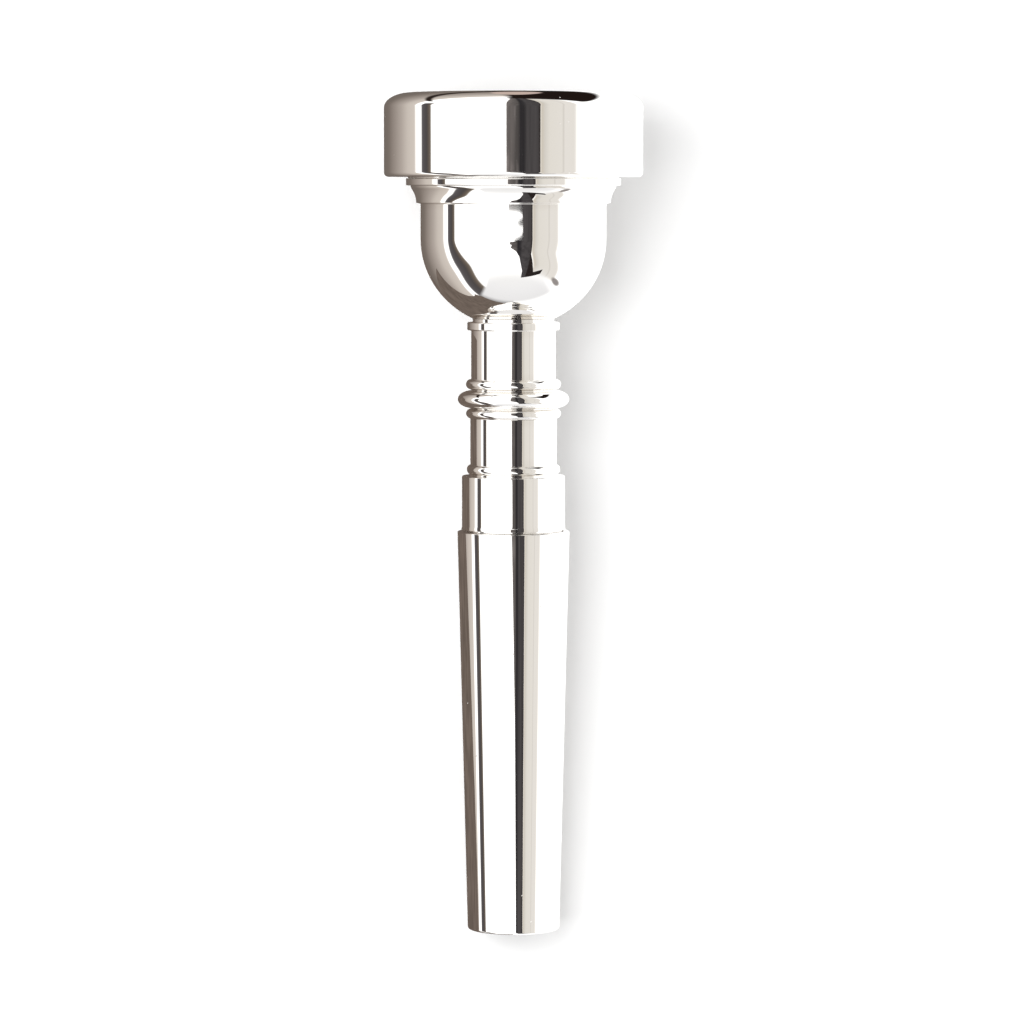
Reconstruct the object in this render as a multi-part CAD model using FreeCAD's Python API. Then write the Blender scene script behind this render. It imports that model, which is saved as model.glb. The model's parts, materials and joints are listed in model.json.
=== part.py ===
import FreeCAD, Part
import math
import os

# Trumpet mouthpiece that screws apart: rim, cup, backbore and a slip-on shank sleeve, with two
# O-rings.  Every piece is turned, so each one is an outline revolved about the mouthpiece's axis.
#
# An outline is drawn in (radius, station): the station is the distance along the axis from the
# rim's playing face towards the shank's tip.  The finished pieces are laid down together, the
# rim's heel and the shank's tip touching the plane z = 0, with +Y towards the rim.
# Lengths are millimetres.

# ---- Overall
TOTAL_LENGTH = 87.75
RUNNING_GAP = 0.05
SEAT_GAP = 0.02
SMALL_EDGE = 0.12

# ---- Rim
RIM_RADIUS = 13.5
RIM_CROWN_RADIUS = 10.75
RIM_BITE_RADIUS = 8.25
RIM_SHOULDER_DROP = 1.58
RIM_BITE_DROP = 1.3
RIM_HEEL_RADIUS = 0.45
RIM_UNDERSIDE = 8.75
RIM_SEAT_OUTER = 11.0
INNER_SEAM = 3.4
RIM_THREAD_RADIUS = 10.1
THREAD_CHAMFER = 0.25

# ---- Cup
CUP_RADIUS = 8.1
CUP_FLOOR_DROP = 8.5
CUP_FLOOR_EDGE = 2.6
THROAT_RADIUS = 1.83
THROAT_START = 12.4
SOCKET_TOP = 17.0
NECK_RELIEF_RADIUS = 9.85
NECK_RELIEF_LENGTH = 0.36
DISC_RADIUS = 11.2
DISC_TOP = 8.9
DISC_BOTTOM = 9.65
FLARE_TOP_RADIUS = 10.72
FLARE_TOP = 10.0
FLARE_BEND = 0.75
FLARE_END_RADIUS = 10.14
FLARE_END = 11.45
BOWL_RADIUS = 9.69
BOWL_START = 11.55
BOWL_TURN = 15.25
BOWL_DROP = 9.2
BOWL_END = 23.5
STUB_THREAD_RADIUS = 3.5

# ---- O-rings: section radius and the lip that each one sits round
RIM_RING_SECTION = 0.5
RIM_RING_LIP = 8.97
STUB_RING_SECTION = 0.4
STUB_RING_LIP = 2.62

# ---- Backbore: necks, collar, beads and the cylinder above the shank
NECK_RADIUS = 4.25
COLLAR_RADIUS = 4.82
COLLAR_TOP = 23.9
COLLAR_BOTTOM = 24.72
UPPER_STEM_RADIUS = 4.42
LOWER_STEM_RADIUS = 4.51
FIRST_BEAD = (30.38, 0.53, 4.97)
MAIN_BEAD = (31.94, 0.9, 5.82)
THIRD_BEAD = (33.44, 0.51, 4.96)
LOWER_BEAD = (39.3, 0.48, 4.88)
UPPER_SHANK_RADIUS = 5.39
UPPER_SHANK_TOP = 39.96
UPPER_SHANK_FLARE = 0.08
UPPER_SHANK_BOTTOM = 45.58
RELIEF_GROOVE_RADIUS = 4.95
BORE_MIDDLE_RADIUS = 3.0
BORE_EXIT_RADIUS = 3.85
BORE_STRAIGHT_END = 18.0
TAIL_SETBACK = 0.3

# ---- Shank sleeve: 1 in 20 on the diameter outside
SLEEVE_TOP = 45.78
SLEEVE_TOP_RADIUS = 5.86
SLEEVE_BORE_TOP_RADIUS = 5.14
SLEEVE_BORE_TIP_RADIUS = 4.38
SHANK_TAPER = 1.0 / 40.0
TIP_EDGE = 0.22

AXIS = FreeCAD.Vector(0, 1, 0)
ORIGIN = FreeCAD.Vector(0, 0, 0)


def at(radius, station):
    """A point of the outline's plane."""
    return FreeCAD.Vector(radius, -station, 0)


class Outline:
    """A closed outline in (radius, station), drawn edge by edge and then revolved."""

    def __init__(self, radius, station):
        self.start = (radius, station)
        self.pen = (radius, station)
        self.edges = []

    def line(self, radius, station):
        """A straight edge to a new point; a point that is already reached adds nothing."""
        if math.dist(self.pen, (radius, station)) > 1e-7:
            self.edges.append(Part.LineSegment(at(*self.pen), at(radius, station)).toShape())
        self.pen = (radius, station)

    def curve(self, handle, end):
        """A smooth curve that leaves and arrives along the two lines through its handle."""
        bezier = Part.BezierCurve()
        bezier.setPoles([at(*self.pen), at(*handle), at(*end)])
        self.edges.append(bezier.toShape())
        self.pen = end

    def round(self, centre, radius, start, end):
        """A circular arc: 0 degrees points away from the axis, 90 towards the tip."""
        def point(degrees):
            angle = math.radians(degrees)
            return (centre[0] + radius * math.cos(angle), centre[1] + radius * math.sin(angle))

        self.line(*point(start))
        middle = point((start + end) / 2)
        self.edges.append(Part.Arc(at(*self.pen), at(*middle), at(*point(end))).toShape())
        self.pen = point(end)

    def oval(self, centre, semi_radial, semi_axial, start, end):
        """An elliptical arc, with the same angles as a circular one."""
        def point(degrees):
            angle = math.radians(degrees)
            return (centre[0] + semi_radial * math.cos(angle), centre[1] + semi_axial * math.sin(angle))

        self.line(*point(start))
        low, high = sorted((start, end))
        if semi_radial > semi_axial:
            ellipse = Part.Ellipse(at(*point(0)), at(*point(90)), at(*centre))
            first, last = low, high
        else:
            ellipse = Part.Ellipse(at(*point(90)), at(*point(0)), at(*centre))
            first, last = 90 - high, 90 - low
        self.edges.append(ellipse.toShape(math.radians(first), math.radians(last)))
        self.pen = point(end)

    def bead(self, bead, root):
        """A half-round bead that stands on a stem of the root radius."""
        centre, half_width, crest = bead
        self.line(root, centre - half_width)
        self.oval((root, centre), crest - root, half_width, -90, 90)

    def solid(self):
        """The closed outline turned once round the axis."""
        self.line(*self.start)
        wire = Part.Wire(Part.__sortEdges__(self.edges))
        turned = Part.Face(wire).revolve(ORIGIN, AXIS, 360)
        return turned if turned.Volume > 0 else turned.reversed()


def sleeve_bore(station):
    """Radius of the sleeve's tapered bore."""
    share = (station - SLEEVE_TOP) / (TOTAL_LENGTH - SLEEVE_TOP)
    return SLEEVE_BORE_TOP_RADIUS + share * (SLEEVE_BORE_TIP_RADIUS - SLEEVE_BORE_TOP_RADIUS)


def rim():
    """Screw rim: rounded crown, straight skirt with the female thread, and a narrow seat."""
    bore = RIM_THREAD_RADIUS + RUNNING_GAP
    seat = DISC_TOP - SEAT_GAP
    outline = Outline(CUP_RADIUS, INNER_SEAM)
    outline.line(RIM_BITE_RADIUS, RIM_BITE_DROP)
    inner_half = RIM_CROWN_RADIUS - RIM_BITE_RADIUS
    outer_half = RIM_RADIUS - RIM_CROWN_RADIUS
    outline.oval((RIM_CROWN_RADIUS, RIM_BITE_DROP), inner_half, RIM_BITE_DROP, 180, 270)
    outline.oval((RIM_CROWN_RADIUS, RIM_SHOULDER_DROP), outer_half, RIM_SHOULDER_DROP, 270, 360)
    outline.line(RIM_RADIUS, RIM_UNDERSIDE - RIM_HEEL_RADIUS)
    outline.round(rim_heel(), RIM_HEEL_RADIUS, 0, 90)
    outline.line(RIM_SEAT_OUTER, RIM_UNDERSIDE)
    outline.line(RIM_SEAT_OUTER, seat)
    outline.line(bore + THREAD_CHAMFER, seat)
    outline.line(bore, seat - THREAD_CHAMFER)
    outline.line(bore, INNER_SEAM)
    return outline.solid()


def cup():
    """Cup: threaded neck, shoulder disc, flare and bowl outside; cup, throat and socket inside."""
    lip_top = INNER_SEAM + RUNNING_GAP
    rebate = lip_top + 2 * RIM_RING_SECTION + 2 * RUNNING_GAP
    relief = DISC_TOP - NECK_RELIEF_LENGTH
    socket = STUB_THREAD_RADIUS + RUNNING_GAP
    outline = Outline(CUP_RADIUS, lip_top)
    outline.line(RIM_RING_LIP - SMALL_EDGE, lip_top)
    outline.line(RIM_RING_LIP, lip_top + SMALL_EDGE)
    outline.line(RIM_RING_LIP, rebate)
    outline.line(RIM_THREAD_RADIUS - THREAD_CHAMFER, rebate)
    outline.line(RIM_THREAD_RADIUS, rebate + THREAD_CHAMFER)
    outline.line(RIM_THREAD_RADIUS, relief - THREAD_CHAMFER)
    outline.line(NECK_RELIEF_RADIUS, relief)
    outline.line(NECK_RELIEF_RADIUS, DISC_TOP)
    outline.round((DISC_RADIUS - SMALL_EDGE, DISC_TOP + SMALL_EDGE), SMALL_EDGE, -90, 0)
    outline.round((DISC_RADIUS - SMALL_EDGE, DISC_BOTTOM - SMALL_EDGE), SMALL_EDGE, 0, 90)
    outline.line(FLARE_TOP_RADIUS, DISC_BOTTOM)
    outline.line(FLARE_TOP_RADIUS, FLARE_TOP)
    outline.curve((FLARE_END_RADIUS, FLARE_TOP + FLARE_BEND), (FLARE_END_RADIUS, FLARE_END))
    outline.line(BOWL_RADIUS, BOWL_START)
    bowl_sweep = math.degrees(math.asin((BOWL_END - BOWL_TURN) / BOWL_DROP))
    outline.oval((0.0, BOWL_TURN), BOWL_RADIUS, BOWL_DROP, 0, bowl_sweep)
    outline.line(socket + SMALL_EDGE, BOWL_END)
    outline.line(socket, BOWL_END - SMALL_EDGE)
    outline.line(socket, SOCKET_TOP)
    outline.line(THROAT_RADIUS, SOCKET_TOP)
    outline.line(THROAT_RADIUS, THROAT_START)
    edge_angle = math.acos(CUP_FLOOR_EDGE / CUP_RADIUS)
    edge_station = lip_top + CUP_FLOOR_DROP * math.sin(edge_angle)
    edge_slope = CUP_FLOOR_DROP / (CUP_RADIUS * math.tan(edge_angle))
    handle = (THROAT_RADIUS, edge_station + (CUP_FLOOR_EDGE - THROAT_RADIUS) * edge_slope)
    outline.curve(handle, (CUP_FLOOR_EDGE, edge_station))
    outline.oval((0.0, lip_top), CUP_RADIUS, CUP_FLOOR_DROP, math.degrees(edge_angle), 0)
    return outline.solid()


def backbore():
    """Backbore: threaded stub, neck, collar, beads and cylinder, then the tail inside the sleeve."""
    lip_top = SOCKET_TOP + RUNNING_GAP
    rebate = lip_top + 2 * STUB_RING_SECTION + 2 * RUNNING_GAP
    shoulder = BOWL_END + SEAT_GAP
    tail_top = SLEEVE_TOP - SEAT_GAP
    tail_end = TOTAL_LENGTH - TAIL_SETBACK
    outline = Outline(THROAT_RADIUS, lip_top)
    outline.line(STUB_RING_LIP - SMALL_EDGE, lip_top)
    outline.line(STUB_RING_LIP, lip_top + SMALL_EDGE)
    outline.line(STUB_RING_LIP, rebate)
    outline.line(STUB_THREAD_RADIUS - THREAD_CHAMFER, rebate)
    outline.line(STUB_THREAD_RADIUS, rebate + THREAD_CHAMFER)
    outline.line(STUB_THREAD_RADIUS, shoulder)
    outline.line(NECK_RADIUS, shoulder)
    outline.line(NECK_RADIUS, COLLAR_TOP)
    outline.round((COLLAR_RADIUS - SMALL_EDGE, COLLAR_TOP + SMALL_EDGE), SMALL_EDGE, -90, 0)
    outline.round((COLLAR_RADIUS - SMALL_EDGE, COLLAR_BOTTOM - SMALL_EDGE), SMALL_EDGE, 0, 90)
    outline.line(UPPER_STEM_RADIUS, COLLAR_BOTTOM)
    outline.bead(FIRST_BEAD, UPPER_STEM_RADIUS)
    outline.bead(MAIN_BEAD, UPPER_STEM_RADIUS)
    outline.bead(THIRD_BEAD, UPPER_STEM_RADIUS)
    outline.line(LOWER_STEM_RADIUS, THIRD_BEAD[0] + THIRD_BEAD[1])
    outline.bead(LOWER_BEAD, LOWER_STEM_RADIUS)
    outline.line(LOWER_STEM_RADIUS, UPPER_SHANK_TOP)
    outline.round((UPPER_SHANK_RADIUS - SMALL_EDGE, UPPER_SHANK_TOP + SMALL_EDGE), SMALL_EDGE, -90, 0)
    outline.line(UPPER_SHANK_RADIUS, UPPER_SHANK_BOTTOM - 6 * UPPER_SHANK_FLARE)
    flare_end = (UPPER_SHANK_RADIUS + UPPER_SHANK_FLARE, UPPER_SHANK_BOTTOM)
    outline.curve((UPPER_SHANK_RADIUS, UPPER_SHANK_BOTTOM - 2 * UPPER_SHANK_FLARE), flare_end)
    outline.line(RELIEF_GROOVE_RADIUS, UPPER_SHANK_BOTTOM)
    outline.line(RELIEF_GROOVE_RADIUS, tail_top)
    outline.line(sleeve_bore(tail_top) - RUNNING_GAP, tail_top)
    outline.line(sleeve_bore(tail_end) - RUNNING_GAP, tail_end - SMALL_EDGE)
    outline.line(sleeve_bore(tail_end) - RUNNING_GAP - SMALL_EDGE, tail_end)
    outline.line(BORE_EXIT_RADIUS, tail_end)
    middle = (BORE_STRAIGHT_END + tail_end) / 2
    outline.curve((BORE_MIDDLE_RADIUS, middle), (THROAT_RADIUS, BORE_STRAIGHT_END))
    return outline.solid()


def shank_sleeve():
    """Slip-on sleeve: tapered outside to fit the receiver, tapered bore, rounded tip."""
    centre = tip_edge_centre()
    taper = math.degrees(math.atan(SHANK_TAPER))
    outline = Outline(SLEEVE_BORE_TOP_RADIUS + SMALL_EDGE, SLEEVE_TOP)
    outline.round((SLEEVE_TOP_RADIUS - SMALL_EDGE, SLEEVE_TOP + SMALL_EDGE), SMALL_EDGE, -90, taper)
    outline.round(centre, TIP_EDGE, taper, 90)
    outline.line(SLEEVE_BORE_TIP_RADIUS, TOTAL_LENGTH)
    outline.line(sleeve_bore(SLEEVE_TOP + SMALL_EDGE), SLEEVE_TOP + SMALL_EDGE)
    return outline.solid()


def ring(lip, section, seam):
    """An O-ring of round section, lying round a lip and under the face at the seam."""
    radius = lip + RUNNING_GAP + section
    station = seam + 1.5 * RUNNING_GAP + section
    return Part.makeTorus(radius, section, at(0, station), AXIS)


def rim_heel():
    """Centre of the rounded heel's section."""
    return (RIM_RADIUS - RIM_HEEL_RADIUS, RIM_UNDERSIDE - RIM_HEEL_RADIUS)


def tip_edge_centre():
    """Centre of the tip's rounded edge, set so that the edge runs smoothly into the taper."""
    station = TOTAL_LENGTH - TIP_EDGE
    lean = math.hypot(1.0, SHANK_TAPER)
    line_radius = SLEEVE_TOP_RADIUS - (station - SLEEVE_TOP) * SHANK_TAPER
    return (line_radius - TIP_EDGE * lean, station)


def resting_place():
    """Tilt and lift that lay the mouthpiece on its rim's heel and its shank's tip.

    The plane is the common tangent of the heel's and the tip edge's sections.  The lift along Y
    puts the middle of the overall box at y = 0.
    """
    heel = rim_heel()
    tip = tip_edge_centre()
    rise = heel[0] - tip[0]
    run = tip[1] - heel[1]
    tilt = math.atan2(rise, run) + math.asin((RIM_HEEL_RADIUS - TIP_EDGE) / math.hypot(rise, run))
    sine = math.sin(tilt)
    cosine = math.cos(tilt)
    height = heel[0] * cosine + heel[1] * sine + RIM_HEEL_RADIUS
    crown_reach = math.hypot(RIM_SHOULDER_DROP * cosine, (RIM_RADIUS - RIM_CROWN_RADIUS) * sine)
    front = RIM_CROWN_RADIUS * sine - RIM_SHOULDER_DROP * cosine + crown_reach
    back = -(tip[1] * cosine + tip[0] * sine + TIP_EDGE)
    turn = FreeCAD.Rotation(FreeCAD.Vector(1, 0, 0), math.degrees(tilt))
    return FreeCAD.Placement(FreeCAD.Vector(0, -(front + back) / 2, height), turn)


PIECES = {
    "rim": rim(),
    "rim_o_ring": ring(RIM_RING_LIP, RIM_RING_SECTION, INNER_SEAM),
    "cup": cup(),
    "backbore_o_ring": ring(STUB_RING_LIP, STUB_RING_SECTION, SOCKET_TOP),
    "backbore": backbore(),
    "shank_sleeve": shank_sleeve(),
}

PLACE = resting_place()

os.makedirs("parts", exist_ok=True)
for name, shape in PIECES.items():
    laid = shape.copy()
    laid.Placement = PLACE.multiply(laid.Placement)
    laid.exportStep("parts/" + name + ".step")
    print(name, "valid", laid.isValid(), "solids", len(laid.Solids), "volume", round(laid.Volume, 2))
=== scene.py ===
"""A screw-rim trumpet mouthpiece, lying on its side on a pale table.

Every metal piece is a turned shape: an outline in (radius, station) carried once round the
mouthpiece's axis.  The station is the distance in millimetres from the rim's playing face towards
the shank's tip.  Outlines are worked out in millimetres and placed in metres.
"""

import json
import logging
import math
from dataclasses import dataclass, field
from enum import Enum
from typing import Optional

import bpy
import numpy as np
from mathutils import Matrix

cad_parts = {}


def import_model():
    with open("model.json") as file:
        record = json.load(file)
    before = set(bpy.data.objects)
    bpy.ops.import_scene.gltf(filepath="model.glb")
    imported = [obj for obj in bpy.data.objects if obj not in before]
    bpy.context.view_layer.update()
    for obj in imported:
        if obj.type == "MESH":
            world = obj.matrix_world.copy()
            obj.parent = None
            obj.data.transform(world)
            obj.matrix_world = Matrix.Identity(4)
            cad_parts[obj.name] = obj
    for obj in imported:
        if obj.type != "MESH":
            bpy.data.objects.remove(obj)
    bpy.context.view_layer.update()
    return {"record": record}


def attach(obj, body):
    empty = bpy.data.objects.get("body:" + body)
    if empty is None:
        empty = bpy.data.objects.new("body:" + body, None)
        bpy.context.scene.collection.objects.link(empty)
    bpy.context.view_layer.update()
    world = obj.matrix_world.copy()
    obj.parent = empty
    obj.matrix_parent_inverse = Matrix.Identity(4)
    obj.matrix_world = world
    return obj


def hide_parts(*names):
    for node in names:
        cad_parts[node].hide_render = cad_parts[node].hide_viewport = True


LOG = logging.getLogger("mouthpiece")

MM = 0.001
FULL_TURN = 2.0 * math.pi

Pair = tuple[float, float]
Colour = tuple[float, float, float]
Steps = tuple[float, ...]
Stops = list[tuple[float, Colour]]
Socket = bpy.types.NodeSocket


class Finish(Enum):
    """How a run of the outline was finished, as a share of tool marks left on it."""

    POLISHED = 0.0
    MACHINED = 1.0


class Kind(Enum):
    """Whether a thread is cut outside a stem or inside a bore."""

    MALE = 1
    FEMALE = 2


# --------------------------------------------------------------------------- the turned outline


@dataclass(frozen=True)
class Axis:
    """The mouthpiece's axis: a point on the playing face and the direction out of the rim."""

    origin: np.ndarray
    direction: np.ndarray

    def upward(self) -> np.ndarray:
        """The direction square to the axis that points up from the table."""
        return np.cross([1.0, 0.0, 0.0], self.direction)

    def outward(self, angle: np.ndarray) -> np.ndarray:
        """The directions away from the axis at the given angles, 0 being upwards."""
        side = np.array([1.0, 0.0, 0.0])
        return np.sin(angle)[..., None] * side + np.cos(angle)[..., None] * self.upward()

    def place(self, radius: np.ndarray, station: np.ndarray, angle: np.ndarray) -> np.ndarray:
        """Places in the row frame: origin, less station along the axis, plus radius outwards.

        Args:
            radius: distances from the axis in mm, rows by columns.
            station: distances from the playing face in mm, rows by columns.
            angle: angle of each column in radians.

        Returns:
            Places in metres, rows by columns by 3.
        """
        along = station[..., None] * self.direction
        return self.origin + MM * (radius[..., None] * self.outward(angle)[None, :, :] - along)


@dataclass(frozen=True)
class Thread:
    """A right-hand screw thread on a cylinder between two stations.

    The radius rises and falls by half the depth with the phase, which is minus station over pitch
    minus angle over a full turn.  A male thread is cut down, and a female one opened out, along
    45 degree cones that start from the given end radii.
    """

    kind: Kind
    pitch_radius: float
    pitch: float
    depth: float
    first: Pair
    last: Pair
    rows_per_turn: int = 13
    flank: float = 2.4

    def ridge(self, station: np.ndarray, angle: np.ndarray) -> np.ndarray:
        """Height of the ridge, -1 at the root and 1 at the crest: a softened triangle wave.

        Args:
            station: stations of the rows, in mm.
            angle: angles of the columns, in radians.

        Returns:
            Heights, rows by columns.
        """
        phase = -station[:, None] / self.pitch - angle[None, :] / FULL_TURN
        triangle = 1.0 - 4.0 * np.abs(phase - np.floor(phase) - 0.5)
        return np.tanh(self.flank * triangle) / math.tanh(self.flank)

    def radius(self, station: np.ndarray, angle: np.ndarray) -> np.ndarray:
        """Radius of the threaded surface.

        Args:
            station: stations of the rows, in mm.
            angle: angles of the columns, in radians.

        Returns:
            Radii in mm, rows by columns.
        """
        wave = self.pitch_radius + 0.5 * self.depth * self.ridge(station, angle)
        from_first = np.abs(station - self.first[1])[:, None]
        from_last = np.abs(station - self.last[1])[:, None]
        if self.kind is Kind.MALE:
            cone = np.minimum(self.first[0] + from_first, self.last[0] + from_last)
            return np.minimum(wave, cone)
        cone = np.maximum(self.first[0] - from_first, self.last[0] - from_last)
        return np.maximum(wave, cone)


@dataclass(frozen=True)
class Stroke:
    """One run of an outline: its places, its headings, its finish and the thread on it."""

    places: np.ndarray
    headings: np.ndarray
    finish: Finish
    thread: Optional[Thread] = None

    def length(self) -> float:
        """Length of the run in mm."""
        return float(np.linalg.norm(np.diff(self.places, axis=0), axis=1).sum())

    def sampled(
        self, cut_start: float, cut_end: float, longest: float, sharpest: float
    ) -> "Stroke":
        """The run again, shortened at its ends, with rows close enough for its length and bend.

        Args:
            cut_start: length taken off the start, in mm.
            cut_end: length taken off the end, in mm.
            longest: longest step between rows, in mm.
            sharpest: largest bend between rows, in radians.

        Returns:
            The new run.
        """
        steps = np.linalg.norm(np.diff(self.places, axis=0), axis=1)
        reach = np.concatenate([[0.0], np.cumsum(steps)])
        bends = np.unwrap(np.arctan2(self.headings[:, 1], self.headings[:, 0]))
        span = reach[-1] - cut_start - cut_end
        rows = max(span / longest, abs(bends[-1] - bends[0]) / sharpest, 1.0)
        if self.thread is not None:
            rows = span / self.thread.pitch * self.thread.rows_per_turn
        marks = np.linspace(cut_start, reach[-1] - cut_end, int(math.ceil(rows)) + 1)
        places = np.stack([np.interp(marks, reach, self.places[:, k]) for k in (0, 1)], axis=1)
        bend = np.interp(marks, reach, bends)
        headings = np.stack([np.cos(bend), np.sin(bend)], axis=1)
        return Stroke(places, headings, self.finish, self.thread)


@dataclass(frozen=True)
class Section:
    """A closed outline as rows: places, headings, finish, arc length, recess and threads."""

    places: np.ndarray
    headings: np.ndarray
    machined: np.ndarray
    reach: np.ndarray
    recess: np.ndarray
    threads: list[tuple[Thread, np.ndarray]]


def unit(vectors: np.ndarray) -> np.ndarray:
    """The same directions at length one, taken along the last axis."""
    return vectors / np.linalg.norm(vectors, axis=-1, keepdims=True)


def parabola(
    first: np.ndarray, grip: np.ndarray, last: np.ndarray, t: np.ndarray
) -> tuple[np.ndarray, np.ndarray]:
    """A quadratic curve: (1-t)^2 of the first place, 2t(1-t) of the grip and t^2 of the last.

    Args:
        first: place where the curve starts.
        grip: place that the curve heads for at its start and comes from at its end.
        last: place where it ends.
        t: shares of the way, as a column.

    Returns:
        The places at those shares and the unit headings there.
    """
    places = (1 - t) ** 2 * first + 2 * t * (1 - t) * grip + t**2 * last
    return places, unit((1 - t) * (grip - first) + t * (last - grip))


class Outline:
    """A closed outline drawn run by run, whose sharp corners are then softened."""

    DENSE = 97
    SAME_PLACE = 1e-7
    SHARP = math.radians(7.0)
    CORNER_ROWS = 5
    CORNER_SHARE = 0.4
    RECESS_WIDTH = 0.45
    LONGEST_STEP = 1.2
    SHARPEST_BEND = math.radians(4.0)

    def __init__(self, radius: float, station: float, edge: float = 0.05) -> None:
        """Starts the outline at a point.

        Args:
            radius: distance of the first point from the axis, in mm.
            station: distance of the first point from the playing face, in mm.
            edge: length taken off both sides of a sharp corner, in mm.
        """
        self.start = (radius, station)
        self.pen = (radius, station)
        self.edge = edge
        self.finish = Finish.POLISHED
        self.strokes: list[Stroke] = []

    def straight(self, end: Pair, finish: Finish, thread: Optional[Thread] = None) -> None:
        """A straight run from the pen to a new point.

        Args:
            end: radius and station of the new point, in mm.
            finish: how the run was finished.
            thread: the thread cut on it, if any.
        """
        places = np.array([self.pen, end], float)
        heading = unit(places[1] - places[0])
        self.strokes.append(Stroke(places, np.stack([heading, heading]), finish, thread))
        self.pen = end

    def line(self, radius: float, station: float) -> None:
        """A straight run to a new point; a point that is already reached adds nothing."""
        if math.dist(self.pen, (radius, station)) >= self.SAME_PLACE:
            self.straight((radius, station), self.finish)

    def lines(self, *points: Pair) -> None:
        """Straight runs from point to point."""
        for point in points:
            self.line(*point)

    def curve(self, handle: Pair, end: Pair) -> None:
        """A quadratic curve from the pen.

        Args:
            handle: radius and station of the point that the curve bends towards, in mm.
            end: radius and station of its end, in mm.
        """
        shares = np.linspace(0.0, 1.0, self.DENSE)[:, None]
        pen, grip, stop = (np.array(p, float) for p in (self.pen, handle, end))
        self.strokes.append(Stroke(*parabola(pen, grip, stop, shares), self.finish))
        self.pen = end

    def oval(
        self, centre: Pair, semi_radial: float, semi_axial: float, first: float, last: float
    ) -> None:
        """An elliptical run: cosine of the angle times one half width, sine times the other.

        Args:
            centre: radius and station of the ellipse's centre, in mm.
            semi_radial: half width away from the axis, in mm.
            semi_axial: half width along the axis, in mm.
            first: angle of the start in degrees, 0 being away from the axis, 90 towards the tip.
            last: angle of the end in degrees.
        """
        angle = np.radians(np.linspace(first, last, self.DENSE))
        half = np.array([semi_radial, semi_axial])
        places = np.array(centre) + half * np.stack([np.cos(angle), np.sin(angle)], axis=1)
        speed = half * np.stack([-np.sin(angle), np.cos(angle)], axis=1)
        headings = unit(math.copysign(1.0, last - first) * speed)
        self.line(float(places[0, 0]), float(places[0, 1]))
        self.strokes.append(Stroke(places, headings, self.finish))
        self.pen = (float(places[-1, 0]), float(places[-1, 1]))

    def round(self, centre: Pair, radius: float, first: float, last: float) -> None:
        """A circular run, with the same angles as an elliptical one."""
        self.oval(centre, radius, radius, first, last)

    def disc(self, radius: float, top: float, bottom: float, edge: float) -> None:
        """A disc's side between two stations, with both its edges rounded."""
        self.round((radius - edge, top + edge), edge, -90, 0)
        self.round((radius - edge, bottom - edge), edge, 0, 90)

    def seal_lip(self, radius: float, top: float, bottom: float, edge: float) -> None:
        """The face, the chamfer and the side of the lip that an O-ring lies round."""
        self.lines((radius - edge, top), (radius, top + edge), (radius, bottom))

    def bead(self, bead: "Bead", root: float) -> None:
        """A half-round bead that stands on a stem of the root radius."""
        self.line(root, bead.centre - bead.half_width)
        self.oval((root, bead.centre), bead.crest - root, bead.half_width, -90, 90)

    def screw(self, thread: Thread) -> None:
        """A threaded run from the thread's first end to its last.

        Args:
            thread: the thread, whose ends the pen goes to and leaves from.
        """
        self.line(*thread.first)
        self.pen = thread.first
        self.straight(thread.last, Finish.MACHINED, thread)

    @staticmethod
    def bend_between(before: np.ndarray, after: np.ndarray) -> float:
        """Signed angle in radians from one heading to another."""
        cross = before[0] * after[1] - before[1] * after[0]
        return math.atan2(cross, float(before @ after))

    def corner_cuts(self) -> list[float]:
        """How much each run loses at its end, and the next at its start, to soften the corner.

        Returns:
            Lengths in mm, 0 where the outline runs smoothly or a thread begins or ends.
        """
        cuts = []
        for stroke, after in zip(self.strokes, self.strokes[1:] + self.strokes[:1]):
            bend = self.bend_between(stroke.headings[-1], after.headings[0])
            plain = stroke.thread is None and after.thread is None
            room = self.CORNER_SHARE * min(stroke.length(), after.length())
            cuts.append(min(self.edge, room) if plain and abs(bend) > self.SHARP else 0.0)
        return cuts

    def recess_of(self, headings: np.ndarray, reach: np.ndarray) -> np.ndarray:
        """How deep each row lies in a corner, from 0 to 1.

        It is the sum of the inward bends near the row, each weighted by a bell of its distance.

        Args:
            headings: the rows' headings, run anticlockwise.
            reach: arc length up to each row and round to the first, in mm.

        Returns:
            One number for each row.
        """
        bends = np.arctan2(headings[:, 1], headings[:, 0])
        turn = (np.roll(bends, -1) - bends + math.pi) % FULL_TURN - math.pi
        gap = np.abs(reach[:-1, None] - reach[None, :-1])
        gap = np.minimum(gap, reach[-1] - gap)
        bell = np.exp(-((gap / self.RECESS_WIDTH) ** 2))
        return np.clip(bell @ np.maximum(0.0, -turn), 0.0, 1.0)

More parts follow.
